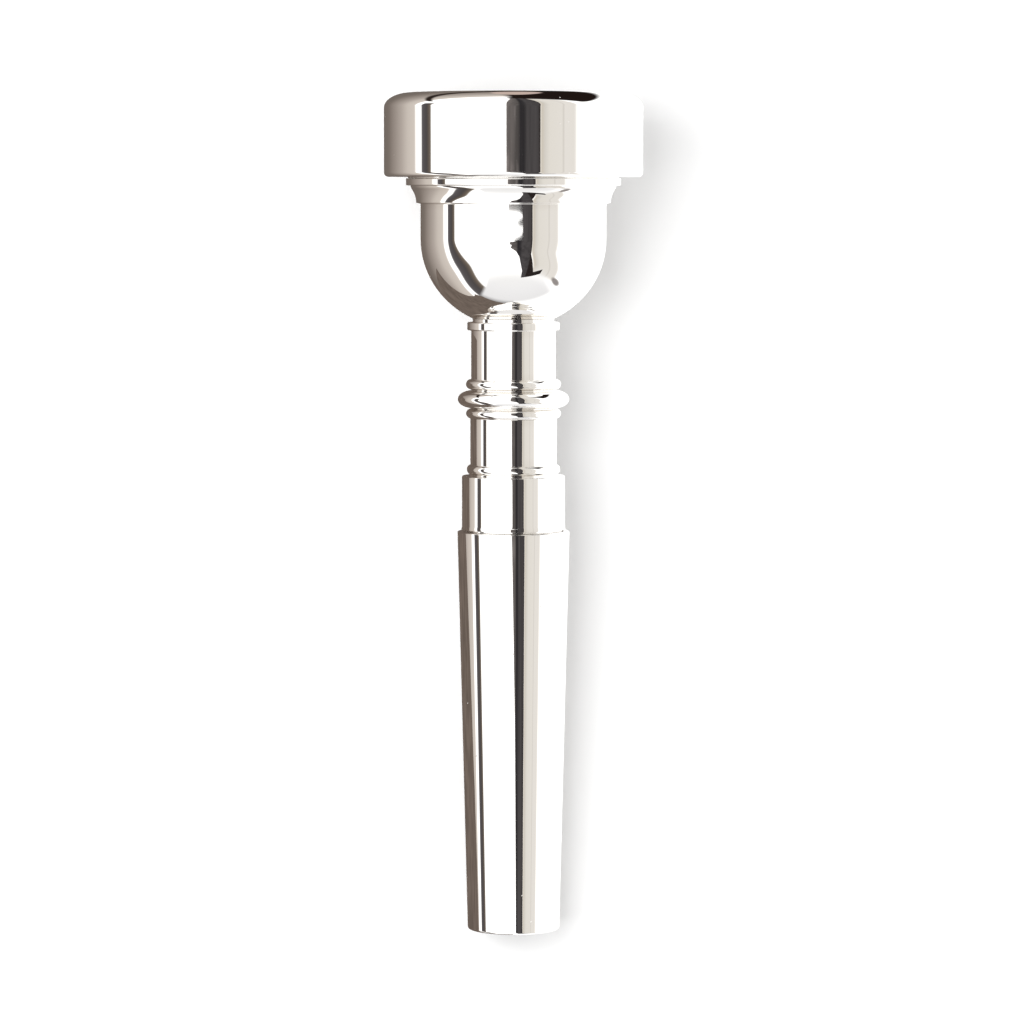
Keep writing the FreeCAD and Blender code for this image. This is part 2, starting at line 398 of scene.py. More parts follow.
    def closed(self) -> Section:
        """The outline as rows, run anticlockwise, with its corners cut to small parabolas.

        A corner's parabola leaves one run and meets the next along their own headings.

        Returns:
            The rows.
        """
        self.line(*self.start)
        cuts = self.corner_cuts()
        limits = (self.LONGEST_STEP, self.SHARPEST_BEND)
        shares = np.linspace(0.0, 1.0, self.CORNER_ROWS + 2)[1:-1, None]
        places, headings, machined, threads = [], [], [], []
        filled = 0
        for k, stroke in enumerate(self.strokes):
            run = stroke.sampled(cuts[k - 1], cuts[k], *limits)
            stop = len(run.places) - (1 if cuts[k] == 0.0 else 0)
            if run.thread is not None:
                threads.append((run.thread, filled + np.arange(stop)))
            places.append(run.places[:stop])
            headings.append(run.headings[:stop])
            machined.append(np.full(stop, run.finish.value))
            filled += stop
            if cuts[k] > 0.0:
                after = self.strokes[(k + 1) % len(self.strokes)]
                meet = after.sampled(cuts[k], 0.0, *limits).places[0]
                corner = parabola(run.places[-1], stroke.places[-1], meet, shares)
                places.append(corner[0])
                headings.append(corner[1])
                roughest = max(run.finish.value, after.finish.value)
                machined.append(np.full(self.CORNER_ROWS, roughest))
                filled += self.CORNER_ROWS
        place, heading, marks = (np.concatenate(rows) for rows in (places, headings, machined))
        ahead = np.roll(place, -1, axis=0)
        if np.sum(place[:, 0] * ahead[:, 1] - ahead[:, 0] * place[:, 1]) < 0:
            place, heading, marks = place[::-1], -heading[::-1], marks[::-1]
            threads = [(thread, filled - 1 - rows) for thread, rows in threads]
        steps = np.linalg.norm(np.roll(place, -1, axis=0) - place, axis=1)
        reach = np.concatenate([[0.0], np.cumsum(steps)])
        return Section(place, heading, marks, reach, self.recess_of(heading, reach), threads)


# --------------------------------------------------------------------------- meshes


def grid_faces(rows: int, columns: int) -> np.ndarray:
    """Quads of a grid that closes both ways: each joins a place, the next row and the next column.

    Args:
        rows: number of rows.
        columns: number of columns.

    Returns:
        Corner numbers, rows times columns by 4.
    """
    row, column = np.meshgrid(np.arange(rows), np.arange(columns), indexing="ij")
    below, beside = (row + 1) % rows * columns, (column + 1) % columns
    row = row * columns
    corners = [row + column, below + column, below + beside, row + beside]
    return np.stack(corners, axis=-1).reshape(-1, 4)


def slopes_of(places: np.ndarray) -> np.ndarray:
    """Unit normals of a grid that closes both ways: the cross product of its two slopes.

    Args:
        places: rows by columns by 3.

    Returns:
        Normals, rows by columns by 3.
    """
    down = np.roll(places, -1, axis=0) - np.roll(places, 1, axis=0)
    round_about = np.roll(places, -1, axis=1) - np.roll(places, 1, axis=1)
    return unit(np.cross(down, round_about))


def grid_mesh(
    name: str, places: np.ndarray, normals: np.ndarray, height: np.ndarray
) -> bpy.types.Mesh:
    """A mesh of quads on a grid that closes both ways, with its own smooth normals and a UV map.

    The map has the share of the turn across and the share of the outline's length up.

    Args:
        name: name of the mesh.
        places: vertices in metres, rows by columns by 3.
        normals: unit normal of each vertex, rows by columns by 3.
        height: share of the outline's length at each row, and 1 for the first row again.

    Returns:
        The mesh.
    """
    rows, columns = places.shape[:2]
    faces = grid_faces(rows, columns)
    mesh = bpy.data.meshes.new(name)
    mesh.vertices.add(rows * columns)
    mesh.vertices.foreach_set("co", places.astype(np.float32).ravel())
    mesh.loops.add(faces.size)
    mesh.loops.foreach_set("vertex_index", faces.astype(np.int32).ravel())
    mesh.polygons.add(len(faces))
    mesh.polygons.foreach_set("loop_start", np.arange(0, faces.size, 4, dtype=np.int32))
    mesh.polygons.foreach_set("use_smooth", np.ones(len(faces), bool))
    mesh.update(calc_edges=True)
    mesh.validate()
    mesh.normals_split_custom_set_from_vertices(normals.reshape(-1, 3).astype(np.float32))
    row, column = np.meshgrid(np.arange(rows), np.arange(columns), indexing="ij")
    across = np.stack([column, column, column + 1, column + 1], axis=-1) / columns
    up = np.stack([height[row], height[row + 1], height[row + 1], height[row]], axis=-1)
    layer = mesh.uv_layers.new(name="turning")
    layer.data.foreach_set("uv", np.stack([across, up], axis=-1).astype(np.float32).ravel())
    return mesh


def put_attribute(mesh: bpy.types.Mesh, name: str, values: np.ndarray) -> None:
    """Stores one number, or three, at each vertex under the given name.

    Args:
        mesh: the mesh that carries them.
        name: name of the attribute.
        values: rows by columns, or rows by columns by 3.
    """
    kind, entry = ("FLOAT_VECTOR", "vector") if values.ndim == 3 else ("FLOAT", "value")
    attribute = mesh.attributes.new(name, kind, "POINT")
    attribute.data.foreach_set(entry, values.astype(np.float32).ravel())


def turned_mesh(name: str, section: Section, axis: Axis, facets: int) -> bpy.types.Mesh:
    """A section carried once round the axis.

    The place of row i and column j is the row's radius at the column's angle.  On a threaded row
    the radius is the thread's.  Plain rows take their normal from the outline's heading turned a
    quarter turn, and threaded rows from the surface's two slopes.

    Args:
        name: name of the mesh.
        section: the closed outline.
        axis: the mouthpiece's axis.
        facets: number of columns round the axis.

    Returns:
        The mesh, with its attributes lathe, recess and machined.
    """
    angle = np.linspace(0.0, FULL_TURN, facets, endpoint=False) + math.pi
    rows = len(section.places)
    columns = np.ones((1, facets))
    radius, station = (section.places[:, k, None] * columns for k in (0, 1))
    recess = section.recess[:, None] * columns
    for thread, where in section.threads:
        radius[where] = thread.radius(section.places[where, 1], angle)
        recess[where] = 0.5 - 0.5 * thread.ridge(section.places[where, 1], angle)
    places = axis.place(radius, station, angle)
    outward, along = (section.headings[:, k, None, None] for k in (1, 0))
    normals = outward * axis.outward(angle)[None, :, :] + along * axis.direction
    if section.threads:
        slopes = slopes_of(places)
        for _, where in section.threads:
            normals[where] = slopes[where]
    mesh = grid_mesh(name, places, normals, section.reach / section.reach[-1])
    drift = np.stack([np.sin(angle), np.cos(angle)], axis=1)[None].repeat(rows, axis=0)
    length = section.reach[:-1, None] * columns
    put_attribute(mesh, "lathe", np.concatenate([drift, length[..., None]], axis=2))
    put_attribute(mesh, "recess", recess)
    put_attribute(mesh, "machined", section.machined[:, None] * columns)
    return mesh


def placed(name: str, mesh: bpy.types.ID) -> bpy.types.Object:
    """An object at the origin that shows the mesh, the lamp or the lens.

    Args:
        name: name of the object.
        mesh: what it shows.

    Returns:
        The object, in the scene.
    """
    thing = bpy.data.objects.new(name, mesh)
    bpy.context.scene.collection.objects.link(thing)
    return thing


# --------------------------------------------------------------------------- nodes and finishes


class Sheet:
    """A node tree that is filled by short calls."""

    def __init__(self, tree: bpy.types.NodeTree) -> None:
        """Empties the tree."""
        self.tree = tree
        tree.nodes.clear()

    def node(self, kind: str, inputs: Optional[dict] = None, **settings: object) -> bpy.types.Node:
        """A new node.

        Args:
            kind: the node's type, less the word that all of them start with.
            inputs: what each socket is fed, by the socket's name or number.
            settings: the node's own settings.

        Returns:
            The node.
        """
        made = self.tree.nodes.new("ShaderNode" + kind)
        for name, value in settings.items():
            setattr(made, name, value)
        for socket, value in (inputs or {}).items():
            self.feed(made.inputs[socket], value)
        return made

    def feed(self, socket: Socket, value: object) -> None:
        """Links a socket to another, or sets it to a constant.

        Args:
            socket: the socket that is fed.
            value: another socket, a number, a vector or a colour.
        """
        if isinstance(value, bpy.types.NodeSocket):
            self.tree.links.new(value, socket)
        elif isinstance(value, tuple) and len(value) == 3 and len(socket.default_value) == 4:
            socket.default_value = (*value, 1.0)
        else:
            socket.default_value = value

    def result(self, kind: str, *values: object, **settings: object) -> Socket:
        """The first output of a new node whose sockets are fed in their order."""
        return self.node(kind, dict(enumerate(values)), **settings).outputs[0]

    def maths(self, operation: str, *values: object) -> Socket:
        """The result of a Math node on up to three values."""
        return self.result("Math", *values, operation=operation)

    def vector(self, operation: str, *values: object) -> Socket:
        """The vector result of a Vector Math node."""
        return self.result("VectorMath", *values, operation=operation)

    def degrees(self, operation: str, *values: object) -> Socket:
        """An angle worked out by a Math node, in degrees."""
        return self.maths("DEGREES", self.maths(operation, *values))

    def product(self, value: object, *others: object) -> Socket:
        """All the values multiplied together.

        Args:
            value: the first value.
            others: the values that it is multiplied by, one after another.

        Returns:
            The product.
        """
        for other in others:
            value = self.maths("MULTIPLY", value, other)
        return value

    def rise(
        self, value: object, low: float, high: float, start: object = 0.0, end: object = 1.0
    ) -> Socket:
        """A smooth step of the value from start to end as it goes from low to high."""
        entries = (value, low, high, start, end)
        return self.result("MapRange", *entries, interpolation_type="SMOOTHSTEP")

    def fall(self, value: object, low: float, high: float) -> Socket:
        """A smooth step down from 1 to 0 as the value goes from low to high."""
        return self.rise(value, low, high, 1.0, 0.0)

    def blend(self, share: object, first: object, second: object) -> Socket:
        """A colour between two colours."""
        return self.node("Mix", {0: share, 6: first, 7: second}, data_type="RGBA").outputs[2]

    def noise(self, coordinates: object, scale: float, detail: float) -> Socket:
        """Noise between 0 and 1 over the coordinates."""
        inputs = {"Vector": coordinates, "Scale": scale, "Detail": detail}
        return self.node("TexNoise", inputs).outputs[0]

    def ramp(self, value: object, stops: Stops) -> Socket:
        """Colour along a value from 0 to 1, straight between the stops.

        Args:
            value: the socket that is looked up.
            stops: places from 0 to 1 and the colours there.

        Returns:
            The colour.
        """
        made = self.node("ValToRGB", {0: value})
        band = made.color_ramp
        while len(band.elements) < len(stops):
            band.elements.new(1.0)
        for element, (place, colour) in zip(band.elements, stops):
            element.position = place
            element.color = (*colour, 1.0)
        return made.outputs[0]

    def split(self, vector: object) -> bpy.types.NodeOutputs:
        """The three parts of a vector."""
        return self.node("SeparateXYZ", {0: vector}).outputs

    def place(self) -> Socket:
        """The object's own coordinates, in metres."""
        return self.node("TexCoord").outputs["Object"]

    def attribute(self, name: str, output: str) -> Socket:
        """A value stored on the mesh."""
        return self.node("Attribute", attribute_name=name).outputs[output]

    def bump(self, height: Socket) -> Socket:
        """The normal of a surface raised by a height in metres."""
        inputs = {"Strength": 1.0, "Distance": 1.0, "Height": height}
        return self.node("Bump", inputs).outputs[0]

    def close(self, shader: str, inputs: dict, output: str = "OutputMaterial") -> None:
        """Ends the sheet with a shader of the given inputs and the output that shows it."""
        self.node(output, {"Surface": self.node(shader, inputs).outputs[0]})


def blank_material(name: str) -> tuple[bpy.types.Material, Sheet]:
    """A new material to be filled.

    Args:
        name: name of the material.

    Returns:
        The material and its empty sheet.
    """
    made = bpy.data.materials.new(name)
    made.use_nodes = True
    return made, Sheet(made.node_tree)


def linear(red: float, green: float, blue: float) -> Colour:
    """A colour given as 0 to 255 display values, as light: each value to about the power 2.4.

    Args:
        red: display value of red.
        green: display value of green.
        blue: display value of blue.

    Returns:
        The colour as light, each channel from 0 to 1.
    """
    def channel(value: float) -> float:
        """One channel as light."""
        share = value / 255.0
        return share / 12.92 if share <= 0.04045 else ((share + 0.055) / 1.055) ** 2.4

    return (channel(red), channel(green), channel(blue))


@dataclass(frozen=True)
class SilverPlate:
    """Silver plate on turned brass: mirror bright outside, tool marks where it isn't polished.

    Scales are per metre, or per mm along the outline.  A run of two or four numbers is a smooth
    step: its two limits, then the two levels if they aren't 0 and 1.
    """

    silver: Colour = (0.965, 0.952, 0.93)
    tarnish: Colour = (0.66, 0.60, 0.53)
    tarnish_share: float = 0.18
    tarnish_roughness: float = 0.12
    recess_step: Steps = (0.15, 0.95)
    cloud_scale: float = 420.0
    cloud_step: Steps = (0.3, 0.7, 0.4, 1.0)
    smear_scale: float = 160.0
    smear_step: Steps = (0.35, 0.75, 0.018, 0.03)
    machined_roughness: float = 0.17
    wave_scale: float = 230.0
    wave_height: float = 0.0000022
    line_stretch: tuple[float, float, float] = (0.6, 0.6, 5.0)
    line_height: float = 0.00000003
    tool_mark_height: float = 0.0000009
    streak_stretch: tuple[float, float, float] = (42.0, 42.0, 0.12)
    streak_height: float = 0.0000002
    speck_scale: float = 1050.0
    speck_rarity: float = 0.91
    speck_radius: Steps = (0.05, 0.13)
    speck_roughness: float = 0.80

    def material(self) -> bpy.types.Material:
        """The finish as a material.

        Colour warms towards tarnish with the recess.  Roughness is a polish, smeared by noise,
        raised by tool marks and by sparse specks of dust.  The bump adds long polishing waves,
        streaks along the axis and fine lines that run round it.

        Returns:
            The material.
        """
        made, sheet = blank_material("silver_plate")
        place = sheet.place()
        lathe = sheet.attribute("lathe", "Vector")
        machined = sheet.attribute("machined", "Fac")

        cloud = sheet.rise(sheet.noise(place, self.cloud_scale, 4.0), *self.cloud_step)
        stain = sheet.product(cloud, self.tarnish_share)
        dirt = sheet.product(sheet.rise(sheet.attribute("recess", "Fac"), *self.recess_step), stain)

        cells = sheet.node("TexVoronoi", {"Vector": place, "Scale": self.speck_scale}, feature="F1")
        lot = sheet.result("SeparateColor", cells.outputs["Color"])
        chosen = sheet.maths("GREATER_THAN", lot, self.speck_rarity)
        speck = sheet.product(chosen, sheet.fall(cells.outputs["Distance"], *self.speck_radius))

        smear = sheet.rise(sheet.noise(place, self.smear_scale, 3.0), *self.smear_step)
        tooled = sheet.maths("MULTIPLY_ADD", machined, self.machined_roughness, smear)
        stained = sheet.maths("MULTIPLY_ADD", dirt, self.tarnish_roughness, tooled)
        rough = sheet.maths("MULTIPLY_ADD", speck, self.speck_roughness, stained)

        lines = sheet.noise(sheet.vector("MULTIPLY", lathe, self.line_stretch), 1.0, 5.0)
        marks = sheet.maths("MULTIPLY_ADD", machined, self.tool_mark_height, self.line_height)
        wave = sheet.product(sheet.noise(place, self.wave_scale, 1.0), self.wave_height)
        streaks = sheet.noise(sheet.vector("MULTIPLY", lathe, self.streak_stretch), 1.0, 3.0)
        streaked = sheet.maths("MULTIPLY_ADD", streaks, self.streak_height, wave)
        looks = {
            "Base Color": sheet.blend(dirt, self.silver, self.tarnish),
            "Metallic": 1.0,
            "Roughness": rough,
            "Normal": sheet.bump(sheet.maths("MULTIPLY_ADD", lines, marks, streaked)),
        }
        sheet.close("BsdfPrincipled", looks)
        return made


@dataclass(frozen=True)
class SealRubber:
    """Black nitrile rubber with a satin skin; scales are per metre."""

    light: Colour = (0.030, 0.030, 0.032)
    dark: Colour = (0.014, 0.014, 0.016)
    mottle_scale: float = 900.0
    satin_step: Steps = (0.3, 0.7, 0.36, 0.52)
    grain_scale: float = 9000.0
    grain_height: float = 0.000004

    def material(self) -> bpy.types.Material:
        """The finish as a material: mottled black, with a fine grain in its bump.

        Returns:
            The material.
        """
        made, sheet = blank_material("seal_rubber")
        place = sheet.place()
        grain = sheet.noise(place, self.grain_scale, 4.0)
        mottle = sheet.noise(place, self.mottle_scale, 3.0)
        looks = {
            "Base Color": sheet.blend(mottle, self.dark, self.light),
            "Roughness": sheet.rise(mottle, *self.satin_step),
            "Normal": sheet.bump(sheet.product(grain, self.grain_height)),
        }
        sheet.close("BsdfPrincipled", looks)
        return made


# --------------------------------------------------------------------------- the pieces


@dataclass(frozen=True)
class Bead:
    """A half-round bead on a stem: its middle station, half width and crest radius, in mm."""

    centre: float
    half_width: float
    crest: float


@dataclass(frozen=True)
class ScrewJoint:
    """A right-hand screw joint between two pieces, in mm."""

    radius: float
    pitch: float
    depth: float
    gap: float = 0.05

    def male(self, first: Pair, last: Pair) -> Thread:
        """The thread cut on the stem."""
        return Thread(Kind.MALE, self.radius, self.pitch, self.depth, first, last)

    def female(self, first: Pair, last: Pair) -> Thread:
        """The thread cut in the bore, wider by the joint's gap."""
        return Thread(Kind.FEMALE, self.radius + self.gap, self.pitch, self.depth, first, last)


@dataclass(frozen=True)
class Seams:
    """Where neighbouring pieces meet: stations and shared sizes in mm."""

    inner_seam: float = 3.4
    disc_top: float = 8.9
    socket_top: float = 17.0
    bowl_end: float = 23.5
    sleeve_top: float = 45.78
    total_length: float = 87.75
    running_gap: float = 0.05
    seat_gap: float = 0.02
    small_edge: float = 0.12
    throat_radius: float = 1.83
    cup_radius: float = 8.1
    rim_screw: ScrewJoint = ScrewJoint(radius=10.1, pitch=0.8, depth=0.4)
    stub_screw: ScrewJoint = ScrewJoint(radius=3.5, pitch=0.75, depth=0.35)
    rim_ring_section: float = 0.5
    rim_ring_lip: float = 8.97
    stub_ring_section: float = 0.4
    stub_ring_lip: float = 2.62
    sleeve_bore_top: float = 5.14
    sleeve_bore_tip: float = 4.38

    def sleeve_bore(self, station: float) -> float:
        """Radius of the sleeve's tapered bore: straight between its top and its tip."""
        share = (station - self.sleeve_top) / (self.total_length - self.sleeve_top)
        return self.sleeve_bore_top + share * (self.sleeve_bore_tip - self.sleeve_bore_top)


@dataclass
class TurnedPiece:
    """A turned metal piece that takes the place of one CAD node."""

    axis: Axis
    plate: bpy.types.Material
    seams: Seams = field(default_factory=Seams)
    node: str = ""
    body: str = ""
    facets: int = 240

    def outline(self) -> Outline:
        """The piece's closed outline; each kind of piece draws its own."""
        raise NotImplementedError

    def build(self) -> bpy.types.Object:
        """Turns the outline, dresses it and hands it to its body.

        Returns:
            The piece.
        """
        mesh = turned_mesh(self.node, self.outline().closed(), self.axis, self.facets)
        thing = placed(self.node + "_turned", mesh)
        thing.data.materials.append(self.plate)
        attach(thing, self.body)
        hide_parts(self.node)
        return thing


@dataclass
class Rim(TurnedPiece):
    """Screw rim: rounded crown, straight skirt and an inside thread."""

    node: str = "rim"
    body: str = "rim"
    facets: int = 320
    radius: float = 13.5
    crown_radius: float = 10.75
    bite_radius: float = 8.25
    shoulder_drop: float = 1.58
    bite_drop: float = 1.3
    heel_radius: float = 0.45
    underside: float = 8.75
    seat_outer: float = 11.0
    opening_radius: float = 10.42
    runout_radius: float = 10.4
    runout_start: float = 4.3
    thread_start: float = 4.75

    def outline(self) -> Outline:
        """Inner wall, bite, crown and shoulder, skirt, heel, seat, thread and its run-out.

        Returns:
            The outline.
        """
        seams = self.seams
        seat = seams.disc_top - seams.seat_gap
        bore = seams.rim_screw.radius + seams.running_gap
        inner_half = self.crown_radius - self.bite_radius
        outer_half = self.radius - self.crown_radius
        heel = (self.radius - self.heel_radius, self.underside - self.heel_radius)
        pen = Outline(seams.cup_radius, seams.inner_seam)
        pen.line(self.bite_radius, self.bite_drop)
        pen.oval((self.crown_radius, self.bite_drop), inner_half, self.bite_drop, 180, 270)
        pen.oval((self.crown_radius, self.shoulder_drop), outer_half, self.shoulder_drop, 270, 360)
        pen.line(self.radius, heel[1])
        pen.round(heel, self.heel_radius, 0, 90)
        pen.lines((self.seat_outer, self.underside), (self.seat_outer, seat))
        pen.finish = Finish.MACHINED
        thread_end = (self.runout_radius, self.thread_start)
        pen.screw(seams.rim_screw.female((self.opening_radius, seat), thread_end))
        pen.line(self.runout_radius, self.runout_start)
        pen.lines((bore, self.runout_start), (bore, seams.inner_seam))
        return pen


@dataclass
class Cup(TurnedPiece):
    """Cup: threaded neck, shoulder disc, flare and bowl outside; cup, throat and socket inside."""

    node: str = "cup"
    body: str = "cup"
    facets: int = 240
    floor_drop: float = 8.5
    floor_edge: float = 2.6
    throat_start: float = 12.4
    relief_radius: float = 9.85
    relief_length: float = 0.36
    disc_radius: float = 11.2
    disc_bottom: float = 9.65
    flare_top_radius: float = 10.72
    lip_roll: float = 9.86
    flare_top: Pair = (10.6, 10.02)
    flare_bend: float = 0.73
    flare_end_radius: float = 10.14
    flare_end: float = 11.45
    bowl_radius: float = 9.69
    bowl_start: float = 11.55
    bowl_turn: float = 15.25
    bowl_drop: float = 9.2
    socket_opening: float = 3.8
    socket_runout: float = 3.77
    socket_runout_end: float = 18.3
    ring_room: float = 1.0

    def outline(self) -> Outline:
        """Lip, rebate, neck thread, disc, flare and bowl, then the socket, throat and cup.

        Returns:
            The outline.
        """
        seams = self.seams
        edge = seams.small_edge
        lip_top = seams.inner_seam + seams.running_gap
        rebate = lip_top + 2 * seams.rim_ring_section + 2 * seams.running_gap
        relief = seams.disc_top - self.relief_length
        socket = seams.stub_screw.radius + seams.running_gap
        ring_end = seams.socket_top + self.ring_room
        flare_handle = (self.flare_end_radius, self.flare_top[1] + self.flare_bend)
        pen = Outline(seams.cup_radius, lip_top)
        pen.finish = Finish.MACHINED
        pen.seal_lip(seams.rim_ring_lip, lip_top, rebate, edge)
        pen.screw(seams.rim_screw.male((self.relief_radius, rebate), (self.relief_radius, relief)))
        pen.line(self.relief_radius, seams.disc_top)
        pen.finish = Finish.POLISHED
        pen.disc(self.disc_radius, seams.disc_top, self.disc_bottom, edge)
        pen.line(self.flare_top_radius, self.disc_bottom)
        pen.curve((self.flare_top_radius, self.lip_roll), self.flare_top)
        pen.curve(flare_handle, (self.flare_end_radius, self.flare_end))
        pen.line(self.bowl_radius, self.bowl_start)
        sweep = math.degrees(math.asin((seams.bowl_end - self.bowl_turn) / self.bowl_drop))
        pen.oval((0.0, self.bowl_turn), self.bowl_radius, self.bowl_drop, 0, sweep)
        pen.finish = Finish.MACHINED
        opening = (self.socket_opening, seams.bowl_end)
        pen.screw(seams.stub_screw.female(opening, (self.socket_runout, self.socket_runout_end)))
        pen.lines((self.socket_runout, ring_end), (socket, ring_end), (socket, seams.socket_top))
        pen.line(seams.throat_radius, seams.socket_top)
        pen.finish = Finish.POLISHED
        pen.line(seams.throat_radius, self.throat_start)
        angle = math.acos(self.floor_edge / seams.cup_radius)
        station = lip_top + self.floor_drop * math.sin(angle)
        slope = self.floor_drop / (seams.cup_radius * math.tan(angle))
        handle = (seams.throat_radius, station + (self.floor_edge - seams.throat_radius) * slope)
        pen.curve(handle, (self.floor_edge, station))
        pen.oval((0.0, lip_top), seams.cup_radius, self.floor_drop, math.degrees(angle), 0)
        return pen


@dataclass
class Backbore(TurnedPiece):
    """Backbore: threaded stub, neck, collar, beads, cylinder, and the tail inside the sleeve."""

    node: str = "backbore"
    body: str = "backbore"
    facets: int = 156
    stub_chamfer: float = 0.25
    undercut_radius: float = 3.3
    undercut_start: float = 23.05
    neck_radius: float = 4.25
    collar_radius: float = 4.82
    collar_top: float = 23.9
    collar_bottom: float = 24.72
    upper_stem: float = 4.42
    lower_stem: float = 4.51
    first_bead: Bead = Bead(30.38, 0.53, 4.97)
    main_bead: Bead = Bead(31.94, 0.9, 5.82)
    third_bead: Bead = Bead(33.44, 0.51, 4.96)
    lower_bead: Bead = Bead(39.3, 0.48, 4.88)
    cylinder_radius: float = 5.39
    cylinder_top: float = 39.96
    cylinder_flare: float = 0.08
    flare_steps: tuple[Pair, ...] = ((0, 6), (0, 2), (1, 0))
    cylinder_bottom: float = 45.58
    groove_radius: float = 4.95
    bore_middle: float = 3.0
    bore_exit: float = 3.85
    bore_straight_end: float = 18.0
    tail_setback: float = 0.3

    def outline(self) -> Outline:
        """Stub, neck, collar, stem with its beads, cylinder, groove and tail, then the bore.

        Returns:
            The outline.
        """
        seams = self.seams
        edge = seams.small_edge
        lip_top = seams.socket_top + seams.running_gap
        rebate = lip_top + 2 * seams.stub_ring_section + 2 * seams.running_gap
        shoulder = seams.bowl_end + seams.seat_gap
        tail_top = seams.sleeve_top - seams.seat_gap
        tail_end = seams.total_length - self.tail_setback
        pen = Outline(seams.throat_radius, lip_top)
        pen.finish = Finish.MACHINED
        pen.seal_lip(seams.stub_ring_lip, lip_top, rebate, edge)
        start = (seams.stub_screw.radius - self.stub_chamfer, rebate)
        pen.screw(seams.stub_screw.male(start, (self.undercut_radius, self.undercut_start)))
        pen.line(self.undercut_radius, shoulder)
        pen.finish = Finish.POLISHED
        pen.lines((self.neck_radius, shoulder), (self.neck_radius, self.collar_top))
        pen.disc(self.collar_radius, self.collar_top, self.collar_bottom, edge)
        pen.line(self.upper_stem, self.collar_bottom)
        for bead in (self.first_bead, self.main_bead, self.third_bead):
            pen.bead(bead, self.upper_stem)
        pen.line(self.lower_stem, self.third_bead.centre + self.third_bead.half_width)
        pen.bead(self.lower_bead, self.lower_stem)
        pen.line(self.lower_stem, self.cylinder_top)
        pen.round((self.cylinder_radius - edge, self.cylinder_top + edge), edge, -90, 0)
        flare = self.cylinder_flare
        flare_start, flare_bend, flare_end = (
            (self.cylinder_radius + rise * flare, self.cylinder_bottom - drop * flare)
            for rise, drop in self.flare_steps
        )
        pen.line(*flare_start)
        pen.curve(flare_bend, flare_end)
        pen.lines((self.groove_radius, self.cylinder_bottom), (self.groove_radius, tail_top))
        pen.finish = Finish.MACHINED
        tip_radius = seams.sleeve_bore(tail_end) - seams.running_gap
        pen.line(seams.sleeve_bore(tail_top) - seams.running_gap, tail_top)
        pen.lines((tip_radius, tail_end - edge), (tip_radius - edge, tail_end))
        pen.line(self.bore_exit, tail_end)
        middle = (self.bore_straight_end + tail_end) / 2
        pen.curve((self.bore_middle, middle), (seams.throat_radius, self.bore_straight_end))
        return pen


@dataclass
class ShankSleeve(TurnedPiece):
    """Slip-on sleeve: tapered outside to fit the receiver, tapered bore, rounded tip."""

    node: str = "shank_sleeve"
    body: str = "sleeve"
    facets: int = 320
    top_radius: float = 5.86
    taper: float = 1.0 / 40.0
    tip_edge: float = 0.22

    def tip_centre(self) -> Pair:
        """Centre of the tip's rounded edge, set so that the edge runs smoothly into the taper.

        Returns:
            Radius and station in mm.
        """
        seams = self.seams
        station = seams.total_length - self.tip_edge
        line_radius = self.top_radius - (station - seams.sleeve_top) * self.taper
        return (line_radius - self.tip_edge * math.hypot(1.0, self.taper), station)

    def outline(self) -> Outline:
        """Rounded top edge, tapered outside, rounded tip and tapered bore.

        Returns:
            The outline.
        """
        seams = self.seams
        edge = seams.small_edge
        slope = math.degrees(math.atan(self.taper))
        pen = Outline(seams.sleeve_bore_top + edge, seams.sleeve_top)
        pen.round((self.top_radius - edge, seams.sleeve_top + edge), edge, -90, slope)
        pen.round(self.tip_centre(), self.tip_edge, slope, 90)
        pen.line(seams.sleeve_bore_tip, seams.total_length)
        pen.finish = Finish.MACHINED
        pen.line(seams.sleeve_bore(seams.sleeve_top + edge), seams.sleeve_top + edge)
        return pen


@dataclass
class SealRing:
    """A rubber O-ring that lies round a lip, under the face at a seam."""

    axis: Axis
    rubber: bpy.types.Material
    node: str
    body: str
    lip: float
    section: float
    seam: float
    gap: float = 0.05
    seat_share: float = 1.5
    flash_height: float = 0.012
    flash_width: float = 0.09
    facets: int = 220
    rows: int = 56

    def build(self) -> bpy.types.Object:
        """A round section carried round the axis, with the mould's two fine parting lines.

        The section's radius is constant but for a bell-shaped ridge at the angles that face the
        axis and face away from it.

        Returns:
            The ring.
        """
        around = np.linspace(0.0, FULL_TURN, self.rows, endpoint=False)
        angle = np.linspace(0.0, FULL_TURN, self.facets, endpoint=False)
        from_line = (around + math.pi / 2) % math.pi - math.pi / 2
        ridge = np.exp(-((from_line / self.flash_width) ** 2))
        thick = self.section - self.flash_height + self.flash_height * ridge
        radius = self.lip + self.gap + self.section + thick * np.cos(around)
        station = self.seam + self.seat_share * self.gap + self.section + thick * np.sin(around)
        columns = np.ones((1, self.facets))
        places = self.axis.place(radius[:, None] * columns, station[:, None] * columns, angle)
        height = np.linspace(0.0, 1.0, self.rows + 1)
        mesh = grid_mesh(self.node, places, slopes_of(places), height)
        thing = placed(self.node + "_moulded", mesh)
        thing.data.materials.append(self.rubber)
        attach(thing, self.body)
        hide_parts(self.node)
        return thing


# --------------------------------------------------------------------------- the studio


def flat_sheet(
    name: str, edge: np.ndarray, height: float, look: bpy.types.Material
) -> bpy.types.Object:
    """A flat many-sided sheet at one height, dressed.

    Args:
        name: name of the object.
        edge: corners in metres, n by 2.
        height: height over the table in metres.
        look: its material.

    Returns:
        The sheet.
    """
    corners = np.concatenate([edge, np.full((len(edge), 1), height)], axis=1)
    mesh = bpy.data.meshes.new(name)
    mesh.from_pydata(corners.tolist(), [], [list(range(len(corners)))])
    mesh.update()
    mesh.materials.append(look)
    return placed(name, mesh)


